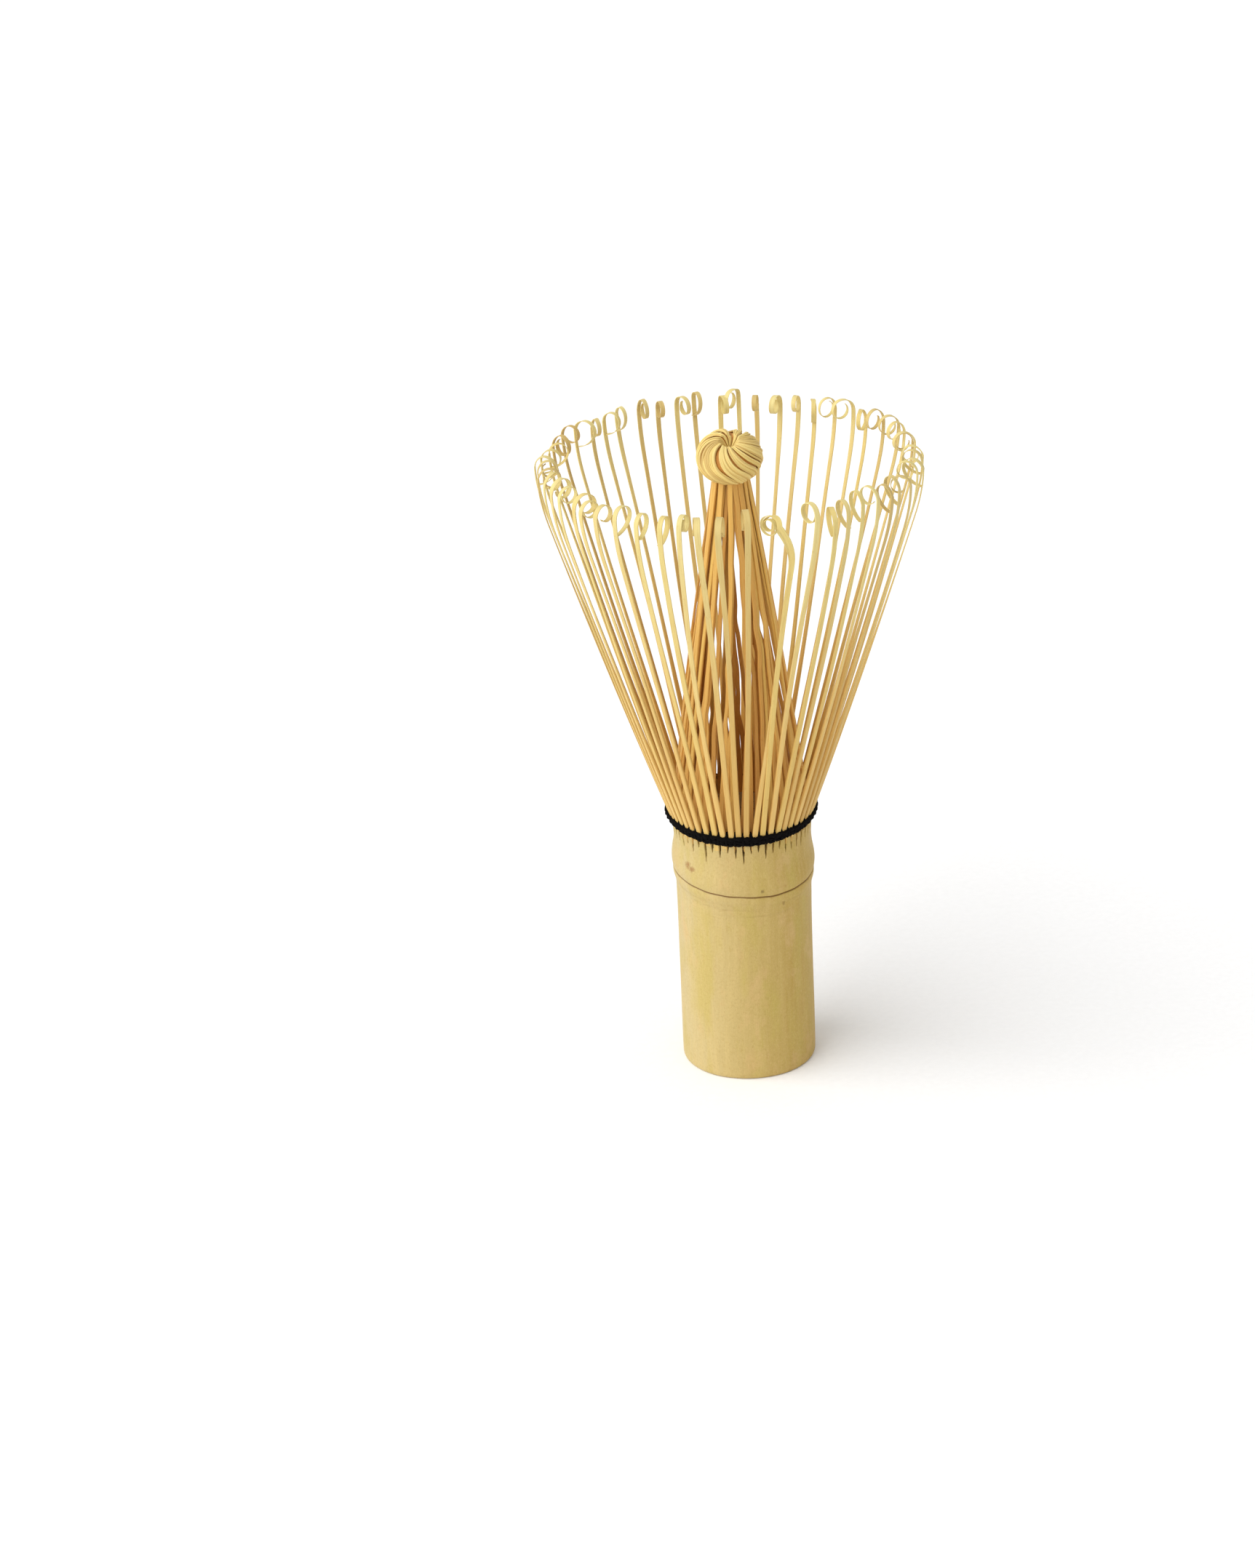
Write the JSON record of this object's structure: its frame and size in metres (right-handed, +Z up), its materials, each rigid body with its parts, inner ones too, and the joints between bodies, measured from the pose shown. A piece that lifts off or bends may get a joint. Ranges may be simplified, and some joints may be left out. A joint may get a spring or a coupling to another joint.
{
  "type": "bamboo tea whisk",
  "caption": "Bamboo tea whisk: round bamboo grip with a node, a flared ring of fine curled tines, and a core of inner tines twisted into a knot, bound with thread.",
  "frame": {"origin": "centre of the flat foot of the grip, on the axis of the whisk", "axes": "+Z up along the axis from the foot to the crown; -Y is the side that faces the viewer"},
  "size_m": [0.0589, 0.0588, 0.1052],
  "materials": {
    "bamboo_culm": "smooth dry bamboo rind, satin",
    "bamboo_tine": "thin split bamboo, matte, fibres along the tine",
    "bamboo_core": "thin split bamboo, matte, darker and more orange",
    "thread": "black twisted cotton thread, matte"
  },
  "bodies": {
    "grip": {"handle": "bamboo_culm", "binding_thread": "thread"},
    "outer_tine_01": {"outer_tine_01": "bamboo_tine"},
    "outer_tine_02": {"outer_tine_02": "bamboo_tine"},
    "outer_tine_03": {"outer_tine_03": "bamboo_tine"},
    "outer_tine_04": {"outer_tine_04": "bamboo_tine"},
    "outer_tine_05": {"outer_tine_05": "bamboo_tine"},
    "outer_tine_06": {"outer_tine_06": "bamboo_tine"},
    "outer_tine_07": {"outer_tine_07": "bamboo_tine"},
    "outer_tine_08": {"outer_tine_08": "bamboo_tine"},
    "outer_tine_09": {"outer_tine_09": "bamboo_tine"},
    "outer_tine_10": {"outer_tine_10": "bamboo_tine"},
    "outer_tine_11": {"outer_tine_11": "bamboo_tine"},
    "outer_tine_12": {"outer_tine_12": "bamboo_tine"},
    "outer_tine_13": {"outer_tine_13": "bamboo_tine"},
    "outer_tine_14": {"outer_tine_14": "bamboo_tine"},
    "outer_tine_15": {"outer_tine_15": "bamboo_tine"},
    "outer_tine_16": {"outer_tine_16": "bamboo_tine"},
    "outer_tine_17": {"outer_tine_17": "bamboo_tine"},
    "outer_tine_18": {"outer_tine_18": "bamboo_tine"},
    "outer_tine_19": {"outer_tine_19": "bamboo_tine"},
    "outer_tine_20": {"outer_tine_20": "bamboo_tine"},
    "outer_tine_21": {"outer_tine_21": "bamboo_tine"},
    "outer_tine_22": {"outer_tine_22": "bamboo_tine"},
    "outer_tine_23": {"outer_tine_23": "bamboo_tine"},
    "outer_tine_24": {"outer_tine_24": "bamboo_tine"},
    "outer_tine_25": {"outer_tine_25": "bamboo_tine"},
    "outer_tine_26": {"outer_tine_26": "bamboo_tine"},
    "outer_tine_27": {"outer_tine_27": "bamboo_tine"},
    "outer_tine_28": {"outer_tine_28": "bamboo_tine"},
    "outer_tine_29": {"outer_tine_29": "bamboo_tine"},
    "outer_tine_30": {"outer_tine_30": "bamboo_tine"},
    "outer_tine_31": {"outer_tine_31": "bamboo_tine"},
    "outer_tine_32": {"outer_tine_32": "bamboo_tine"},
    "outer_tine_33": {"outer_tine_33": "bamboo_tine"},
    "outer_tine_34": {"outer_tine_34": "bamboo_tine"},
    "outer_tine_35": {"outer_tine_35": "bamboo_tine"},
    "outer_tine_36": {"outer_tine_36": "bamboo_tine"},
    "outer_tine_37": {"outer_tine_37": "bamboo_tine"},
    "outer_tine_38": {"outer_tine_38": "bamboo_tine"},
    "outer_tine_39": {"outer_tine_39": "bamboo_tine"},
    "outer_tine_40": {"outer_tine_40": "bamboo_tine"},
    "outer_tine_41": {"outer_tine_41": "bamboo_tine"},
    "outer_tine_42": {"outer_tine_42": "bamboo_tine"},
    "outer_tine_43": {"outer_tine_43": "bamboo_tine"},
    "outer_tine_44": {"outer_tine_44": "bamboo_tine"},
    "outer_tine_45": {"outer_tine_45": "bamboo_tine"},
    "outer_tine_46": {"outer_tine_46": "bamboo_tine"},
    "outer_tine_47": {"outer_tine_47": "bamboo_tine"},
    "outer_tine_48": {"outer_tine_48": "bamboo_tine"},
    "outer_tine_49": {"outer_tine_49": "bamboo_tine"},
    "outer_tine_50": {"outer_tine_50": "bamboo_tine"},
    "outer_tine_51": {"outer_tine_51": "bamboo_tine"},
    "outer_tine_52": {"outer_tine_52": "bamboo_tine"},
    "outer_tine_53": {"outer_tine_53": "bamboo_tine"},
    "outer_tine_54": {"outer_tine_54": "bamboo_tine"},
    "outer_tine_55": {"outer_tine_55": "bamboo_tine"},
    "outer_tine_56": {"outer_tine_56": "bamboo_tine"},
    "core": {"inner_tines": "bamboo_core", "crown": "bamboo_core"}
  },
  "joints": [
    {"name": "outer_tine_01_flex", "type": "hinge", "parent": "grip", "child": "outer_tine_01", "pos_m": [0.01063, 0.00063, 0.041], "axis": [-0.0587, 0.9983, 0], "range_deg": [-7, 3], "stiffness_Nm_per_rad": 0.0014},
    {"name": "outer_tine_02_flex", "type": "hinge", "parent": "grip", "child": "outer_tine_02", "pos_m": [0.0105, 0.00177, 0.041], "axis": [-0.1665, 0.986, 0], "range_deg": [-7, 3], "stiffness_Nm_per_rad": 0.0014},
    {"name": "outer_tine_03_flex", "type": "hinge", "parent": "grip", "child": "outer_tine_03", "pos_m": [0.01025, 0.0029, 0.041], "axis": [-0.2725, 0.9621, 0], "range_deg": [-7, 3], "stiffness_Nm_per_rad": 0.0014},
    {"name": "outer_tine_04_flex", "type": "hinge", "parent": "grip", "child": "outer_tine_04", "pos_m": [0.00987, 0.004, 0.041], "axis": [-0.3761, 0.9266, 0], "range_deg": [-7, 3], "stiffness_Nm_per_rad": 0.0014},
    {"name": "outer_tine_05_flex", "type": "hinge", "parent": "grip", "child": "outer_tine_05", "pos_m": [0.00937, 0.00507, 0.041], "axis": [-0.4762, 0.8793, 0], "range_deg": [-7, 3], "stiffness_Nm_per_rad": 0.0014},
    {"name": "outer_tine_06_flex", "type": "hinge", "parent": "grip", "child": "outer_tine_06", "pos_m": [0.00874, 0.00609, 0.041], "axis": [-0.5717, 0.8204, 0], "range_deg": [-7, 3], "stiffness_Nm_per_rad": 0.0014},
    {"name": "outer_tine_07_flex", "type": "hinge", "parent": "grip", "child": "outer_tine_07", "pos_m": [0.00799, 0.00704, 0.041], "axis": [-0.6612, 0.7502, 0], "range_deg": [-7, 3], "stiffness_Nm_per_rad": 0.0014},
    {"name": "outer_tine_08_flex", "type": "hinge", "parent": "grip", "child": "outer_tine_08", "pos_m": [0.00713, 0.00791, 0.041], "axis": [-0.7429, 0.6694, 0], "range_deg": [-7, 3], "stiffness_Nm_per_rad": 0.0014},
    {"name": "outer_tine_09_flex", "type": "hinge", "parent": "grip", "child": "outer_tine_09", "pos_m": [0.00617, 0.00868, 0.041], "axis": [-0.8153, 0.5791, 0], "range_deg": [-7, 3], "stiffness_Nm_per_rad": 0.0014},
    {"name": "outer_tine_10_flex", "type": "hinge", "parent": "grip", "child": "outer_tine_10", "pos_m": [0.00512, 0.00934, 0.041], "axis": [-0.8767, 0.481, 0], "range_deg": [-7, 3], "stiffness_Nm_per_rad": 0.0014},
    {"name": "outer_tine_11_flex", "type": "hinge", "parent": "grip", "child": "outer_tine_11", "pos_m": [0.00401, 0.00986, 0.041], "axis": [-0.9262, 0.377, 0], "range_deg": [-7, 3], "stiffness_Nm_per_rad": 0.0014},
    {"name": "outer_tine_12_flex", "type": "hinge", "parent": "grip", "child": "outer_tine_12", "pos_m": [0.00286, 0.01026, 0.041], "axis": [-0.9631, 0.269, 0], "range_deg": [-7, 3], "stiffness_Nm_per_rad": 0.0014},
    {"name": "outer_tine_13_flex", "type": "hinge", "parent": "grip", "child": "outer_tine_13", "pos_m": [0.00169, 0.01051, 0.041], "axis": [-0.9873, 0.1589, 0], "range_deg": [-7, 3], "stiffness_Nm_per_rad": 0.0014},
    {"name": "outer_tine_14_flex", "type": "hinge", "parent": "grip", "child": "outer_tine_14", "pos_m": [0.00052, 0.01064, 0.041], "axis": [-0.9988, 0.0484, 0], "range_deg": [-7, 3], "stiffness_Nm_per_rad": 0.0014},
    {"name": "outer_tine_15_flex", "type": "hinge", "parent": "grip", "child": "outer_tine_15", "pos_m": [-0.00065, 0.01063, 0.041], "axis": [-0.9981, -0.0614, 0], "range_deg": [-7, 3], "stiffness_Nm_per_rad": 0.0014},
    {"name": "outer_tine_16_flex", "type": "hinge", "parent": "grip", "child": "outer_tine_16", "pos_m": [-0.00181, 0.0105, 0.041], "axis": [-0.9855, -0.1695, 0], "range_deg": [-7, 3], "stiffness_Nm_per_rad": 0.0014},
    {"name": "outer_tine_17_flex", "type": "hinge", "parent": "grip", "child": "outer_tine_17", "pos_m": [-0.00293, 0.01024, 0.041], "axis": [-0.9614, -0.2753, 0], "range_deg": [-7, 3], "stiffness_Nm_per_rad": 0.0014},
    {"name": "outer_tine_18_flex", "type": "hinge", "parent": "grip", "child": "outer_tine_18", "pos_m": [-0.00403, 0.00986, 0.041], "axis": [-0.9258, -0.3781, 0], "range_deg": [-7, 3], "stiffness_Nm_per_rad": 0.0014},
    {"name": "outer_tine_19_flex", "type": "hinge", "parent": "grip", "child": "outer_tine_19", "pos_m": [-0.00508, 0.00936, 0.041], "axis": [-0.8788, -0.4772, 0], "range_deg": [-7, 3], "stiffness_Nm_per_rad": 0.0014},
    {"name": "outer_tine_20_flex", "type": "hinge", "parent": "grip", "child": "outer_tine_20", "pos_m": [-0.00609, 0.00874, 0.041], "axis": [-0.8205, -0.5716, 0], "range_deg": [-7, 3], "stiffness_Nm_per_rad": 0.0014},
    {"name": "outer_tine_21_flex", "type": "hinge", "parent": "grip", "child": "outer_tine_21", "pos_m": [-0.00703, 0.008, 0.041], "axis": [-0.7512, -0.6601, 0], "range_deg": [-7, 3], "stiffness_Nm_per_rad": 0.0014},
    {"name": "outer_tine_22_flex", "type": "hinge", "parent": "grip", "child": "outer_tine_22", "pos_m": [-0.00789, 0.00715, 0.041], "axis": [-0.6712, -0.7413, 0], "range_deg": [-7, 3], "stiffness_Nm_per_rad": 0.0014},
    {"name": "outer_tine_23_flex", "type": "hinge", "parent": "grip", "child": "outer_tine_23", "pos_m": [-0.00866, 0.00619, 0.041], "axis": [-0.5815, -0.8135, 0], "range_deg": [-7, 3], "stiffness_Nm_per_rad": 0.0014},
    {"name": "outer_tine_24_flex", "type": "hinge", "parent": "grip", "child": "outer_tine_24", "pos_m": [-0.00932, 0.00515, 0.041], "axis": [-0.4837, -0.8753, 0], "range_deg": [-7, 3], "stiffness_Nm_per_rad": 0.0014},
    {"name": "outer_tine_25_flex", "type": "hinge", "parent": "grip", "child": "outer_tine_25", "pos_m": [-0.00985, 0.00404, 0.041], "axis": [-0.3793, -0.9253, 0], "range_deg": [-7, 3], "stiffness_Nm_per_rad": 0.0014},
    {"name": "outer_tine_26_flex", "type": "hinge", "parent": "grip", "child": "outer_tine_26", "pos_m": [-0.01025, 0.00288, 0.041], "axis": [-0.2705, -0.9627, 0], "range_deg": [-7, 3], "stiffness_Nm_per_rad": 0.0014},
    {"name": "outer_tine_27_flex", "type": "hinge", "parent": "grip", "child": "outer_tine_27", "pos_m": [-0.01051, 0.0017, 0.041], "axis": [-0.1593, -0.9872, 0], "range_deg": [-7, 3], "stiffness_Nm_per_rad": 0.0014},
    {"name": "outer_tine_28_flex", "type": "hinge", "parent": "grip", "child": "outer_tine_28", "pos_m": [-0.01064, 0.00051, 0.041], "axis": [-0.0474, -0.9989, 0], "range_deg": [-7, 3], "stiffness_Nm_per_rad": 0.0014},
    {"name": "outer_tine_29_flex", "type": "hinge", "parent": "grip", "child": "outer_tine_29", "pos_m": [-0.01063, -0.00068, 0.041], "axis": [0.0635, -0.998, 0], "range_deg": [-7, 3], "stiffness_Nm_per_rad": 0.0014},
    {"name": "outer_tine_30_flex", "type": "hinge", "parent": "grip", "child": "outer_tine_30", "pos_m": [-0.01049, -0.00184, 0.041], "axis": [0.1723, -0.985, 0], "range_deg": [-7, 3], "stiffness_Nm_per_rad": 0.0014},
    {"name": "outer_tine_31_flex", "type": "hinge", "parent": "grip", "child": "outer_tine_31", "pos_m": [-0.01023, -0.00296, 0.041], "axis": [0.2783, -0.9605, 0], "range_deg": [-7, 3], "stiffness_Nm_per_rad": 0.0014},
    {"name": "outer_tine_32_flex", "type": "hinge", "parent": "grip", "child": "outer_tine_32", "pos_m": [-0.00985, -0.00405, 0.041], "axis": [0.3807, -0.9247, 0], "range_deg": [-7, 3], "stiffness_Nm_per_rad": 0.0014},
    {"name": "outer_tine_33_flex", "type": "hinge", "parent": "grip", "child": "outer_tine_33", "pos_m": [-0.00935, -0.0051, 0.041], "axis": [0.4789, -0.8779, 0], "range_deg": [-7, 3], "stiffness_Nm_per_rad": 0.0014},
    {"name": "outer_tine_34_flex", "type": "hinge", "parent": "grip", "child": "outer_tine_34", "pos_m": [-0.00873, -0.0061, 0.041], "axis": [0.5723, -0.82, 0], "range_deg": [-7, 3], "stiffness_Nm_per_rad": 0.0014},
    {"name": "outer_tine_35_flex", "type": "hinge", "parent": "grip", "child": "outer_tine_35", "pos_m": [-0.008, -0.00703, 0.041], "axis": [0.6598, -0.7514, 0], "range_deg": [-7, 3], "stiffness_Nm_per_rad": 0.0014},
    {"name": "outer_tine_36_flex", "type": "hinge", "parent": "grip", "child": "outer_tine_36", "pos_m": [-0.00716, -0.00788, 0.041], "axis": [0.7402, -0.6724, 0], "range_deg": [-7, 3], "stiffness_Nm_per_rad": 0.0014},
    {"name": "outer_tine_37_flex", "type": "hinge", "parent": "grip", "child": "outer_tine_37", "pos_m": [-0.00622, -0.00865, 0.041], "axis": [0.812, -0.5836, 0], "range_deg": [-7, 3], "stiffness_Nm_per_rad": 0.0014},
    {"name": "outer_tine_38_flex", "type": "hinge", "parent": "grip", "child": "outer_tine_38", "pos_m": [-0.00518, -0.00931, 0.041], "axis": [0.8738, -0.4863, 0], "range_deg": [-7, 3], "stiffness_Nm_per_rad": 0.0014},
    {"name": "outer_tine_39_flex", "type": "hinge", "parent": "grip", "child": "outer_tine_39", "pos_m": [-0.00407, -0.00984, 0.041], "axis": [0.9241, -0.3821, 0], "range_deg": [-7, 3], "stiffness_Nm_per_rad": 0.0014},
    {"name": "outer_tine_40_flex", "type": "hinge", "parent": "grip", "child": "outer_tine_40", "pos_m": [-0.00291, -0.01025, 0.041], "axis": [0.9621, -0.2728, 0], "range_deg": [-7, 3], "stiffness_Nm_per_rad": 0.0014},
    {"name": "outer_tine_41_flex", "type": "hinge", "parent": "grip", "child": "outer_tine_41", "pos_m": [-0.00171, -0.01051, 0.041], "axis": [0.987, -0.1606, 0], "range_deg": [-7, 3], "stiffness_Nm_per_rad": 0.0014},
    {"name": "outer_tine_42_flex", "type": "hinge", "parent": "grip", "child": "outer_tine_42", "pos_m": [-0.00051, -0.01064, 0.041], "axis": [0.9989, -0.0476, 0], "range_deg": [-7, 3], "stiffness_Nm_per_rad": 0.0014},
    {"name": "outer_tine_43_flex", "type": "hinge", "parent": "grip", "child": "outer_tine_43", "pos_m": [0.00069, -0.01063, 0.041], "axis": [0.9979, 0.0646, 0], "range_deg": [-7, 3], "stiffness_Nm_per_rad": 0.0014},
    {"name": "outer_tine_44_flex", "type": "hinge", "parent": "grip", "child": "outer_tine_44", "pos_m": [0.00186, -0.01049, 0.041], "axis": [0.9847, 0.1745, 0], "range_deg": [-7, 3], "stiffness_Nm_per_rad": 0.0014},
    {"name": "outer_tine_45_flex", "type": "hinge", "parent": "grip", "child": "outer_tine_45", "pos_m": [0.00299, -0.01022, 0.041], "axis": [0.9597, 0.281, 0], "range_deg": [-7, 3], "stiffness_Nm_per_rad": 0.0014},
    {"name": "outer_tine_46_flex", "type": "hinge", "parent": "grip", "child": "outer_tine_46", "pos_m": [0.00408, -0.00984, 0.041], "axis": [0.9235, 0.3835, 0], "range_deg": [-7, 3], "stiffness_Nm_per_rad": 0.0014},
    {"name": "outer_tine_47_flex", "type": "hinge", "parent": "grip", "child": "outer_tine_47", "pos_m": [0.00513, -0.00934, 0.041], "axis": [0.8766, 0.4813, 0], "range_deg": [-7, 3], "stiffness_Nm_per_rad": 0.0014},
    {"name": "outer_tine_48_flex", "type": "hinge", "parent": "grip", "child": "outer_tine_48", "pos_m": [0.00611, -0.00872, 0.041], "axis": [0.819, 0.5738, 0], "range_deg": [-7, 3], "stiffness_Nm_per_rad": 0.0014},
    {"name": "outer_tine_49_flex", "type": "hinge", "parent": "grip", "child": "outer_tine_49", "pos_m": [0.00703, -0.008, 0.041], "axis": [0.751, 0.6603, 0], "range_deg": [-7, 3], "stiffness_Nm_per_rad": 0.0014},
    {"name": "outer_tine_50_flex", "type": "hinge", "parent": "grip", "child": "outer_tine_50", "pos_m": [0.00788, -0.00717, 0.041], "axis": [0.6728, 0.7398, 0], "range_deg": [-7, 3], "stiffness_Nm_per_rad": 0.0014},
    {"name": "outer_tine_51_flex", "type": "hinge", "parent": "grip", "child": "outer_tine_51", "pos_m": [0.00864, -0.00623, 0.041], "axis": [0.5851, 0.811, 0], "range_deg": [-7, 3], "stiffness_Nm_per_rad": 0.0014},
    {"name": "outer_tine_52_flex", "type": "hinge", "parent": "grip", "child": "outer_tine_52", "pos_m": [0.00929, -0.0052, 0.041], "axis": [0.4886, 0.8725, 0], "range_deg": [-7, 3], "stiffness_Nm_per_rad": 0.0014},
    {"name": "outer_tine_53_flex", "type": "hinge", "parent": "grip", "child": "outer_tine_53", "pos_m": [0.00983, -0.0041, 0.041], "axis": [0.3849, 0.923, 0], "range_deg": [-7, 3], "stiffness_Nm_per_rad": 0.0014},
    {"name": "outer_tine_54_flex", "type": "hinge", "parent": "grip", "child": "outer_tine_54", "pos_m": [0.01024, -0.00294, 0.041], "axis": [0.2756, 0.9613, 0], "range_deg": [-7, 3], "stiffness_Nm_per_rad": 0.0014},
    {"name": "outer_tine_55_flex", "type": "hinge", "parent": "grip", "child": "outer_tine_55", "pos_m": [0.01051, -0.00173, 0.041], "axis": [0.1629, 0.9866, 0], "range_deg": [-7, 3], "stiffness_Nm_per_rad": 0.0014},
    {"name": "outer_tine_56_flex", "type": "hinge", "parent": "grip", "child": "outer_tine_56", "pos_m": [0.01064, -0.00052, 0.041], "axis": [0.0488, 0.9988, 0], "range_deg": [-7, 3], "stiffness_Nm_per_rad": 0.0014},
    {"name": "core_sway", "type": "hinge", "parent": "grip", "child": "core", "pos_m": [0, 0, 0.0412], "axis": [1, 0, 0], "range_deg": [-2, 2], "stiffness_Nm_per_rad": 0.4}
  ]
}
